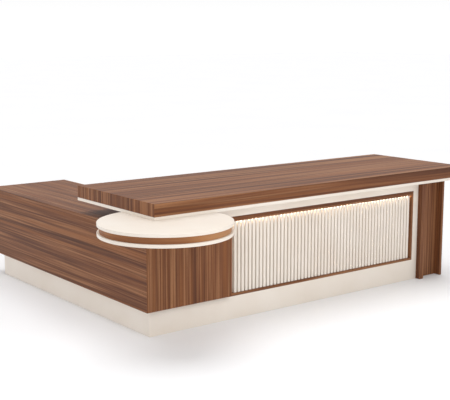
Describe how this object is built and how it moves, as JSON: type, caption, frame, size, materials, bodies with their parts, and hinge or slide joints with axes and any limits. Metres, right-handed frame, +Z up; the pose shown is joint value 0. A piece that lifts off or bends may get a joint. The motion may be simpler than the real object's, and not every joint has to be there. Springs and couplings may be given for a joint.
{
  "type": "l-shaped executive desk",
  "caption": "L-shaped executive desk: thick walnut top on a cream underlay, low return with drawers and cupboard, round corner disc, lit slatted front recess, panel leg",
  "frame": {"origin": "on the floor, at the middle of the space that the desk takes up", "axes": "+X along the main top from the return to the leg, +Y from the visitor's side towards the user and along the return, +Z up"},
  "size_m": [2.8309, 2.45, 0.76],
  "materials": {
    "walnut_veneer": "satin lacquered veneer",
    "cream_lacquer": "satin lacquer on MDF",
    "drawer_box_board": "matt melamine",
    "brushed_steel_pull": "brushed",
    "zinc_plated_steel": "zinc plated",
    "anodised_aluminium": "satin anodised",
    "opal_diffuser": "opal, lit from behind",
    "led_strip_board": "printed circuit"
  },
  "bodies": {
    "desk": {"angle_brackets": "zinc_plated_steel", "cabinet_runners": "zinc_plated_steel", "cupboard_shelf": "walnut_veneer", "desktop_riser": "walnut_veneer", "desktop_slab": "walnut_veneer", "desktop_underlay": "cream_lacquer", "disc_bottom_plate": "cream_lacquer", "disc_core": "walnut_veneer", "disc_top_plate": "cream_lacquer", "hinge_arms": "zinc_plated_steel", "led_channel": "anodised_aluminium", "led_diffuser": "opal_diffuser", "led_strip": "led_strip_board", "leg_front_web": "walnut_veneer", "leg_inner_panel": "walnut_veneer", "leg_outer_panel": "walnut_veneer", "leg_rear_web": "walnut_veneer", "modesty_panel": "cream_lacquer", "plinth_braces": "cream_lacquer", "plinth_front": "cream_lacquer", "plinth_inner": "cream_lacquer", "plinth_left": "cream_lacquer", "plinth_rear": "cream_lacquer", "recess_back_panel": "cream_lacquer", "recess_bottom_board": "walnut_veneer", "recess_left_board": "walnut_veneer", "recess_pelmet": "walnut_veneer", "recess_right_board": "walnut_veneer", "recess_slats": "cream_lacquer", "recess_top_board": "walnut_veneer", "return_bottom": "walnut_veneer", "return_divider_front": "walnut_veneer", "return_divider_rear": "walnut_veneer", "return_front_end": "walnut_veneer", "return_inner_stile": "walnut_veneer", "return_outer_side": "walnut_veneer", "return_rear_end": "walnut_veneer", "return_top": "walnut_veneer", "shelf_cleats": "walnut_veneer"},
    "drawer_lower": {"drawer_lower_back": "drawer_box_board", "drawer_lower_bottom": "drawer_box_board", "drawer_lower_front": "walnut_veneer", "drawer_lower_pull": "brushed_steel_pull", "drawer_lower_runners": "zinc_plated_steel", "drawer_lower_sides": "drawer_box_board"},
    "drawer_middle": {"drawer_middle_back": "drawer_box_board", "drawer_middle_bottom": "drawer_box_board", "drawer_middle_front": "walnut_veneer", "drawer_middle_pull": "brushed_steel_pull", "drawer_middle_runners": "zinc_plated_steel", "drawer_middle_sides": "drawer_box_board"},
    "drawer_upper": {"drawer_upper_back": "drawer_box_board", "drawer_upper_bottom": "drawer_box_board", "drawer_upper_front": "walnut_veneer", "drawer_upper_pull": "brushed_steel_pull", "drawer_upper_runners": "zinc_plated_steel", "drawer_upper_sides": "drawer_box_board"},
    "cupboard_door": {"cupboard_door": "walnut_veneer", "cupboard_pull": "brushed_steel_pull", "hinge_cups": "zinc_plated_steel"}
  },
  "joints": [
    {"name": "drawer_lower_slide", "type": "slide", "parent": "desk", "child": "drawer_lower", "axis": [1, 0, 0], "range_m": [0, 0.36]},
    {"name": "drawer_middle_slide", "type": "slide", "parent": "desk", "child": "drawer_middle", "axis": [1, 0, 0], "range_m": [0, 0.36]},
    {"name": "drawer_upper_slide", "type": "slide", "parent": "desk", "child": "drawer_upper", "axis": [1, 0, 0], "range_m": [0, 0.36]},
    {"name": "cupboard_door_hinge", "type": "hinge", "parent": "desk", "child": "cupboard_door", "pos_m": [-0.5355, 1.204, 0.366], "axis": [0, 0, 1], "range_deg": [0, 105]}
  ]
}
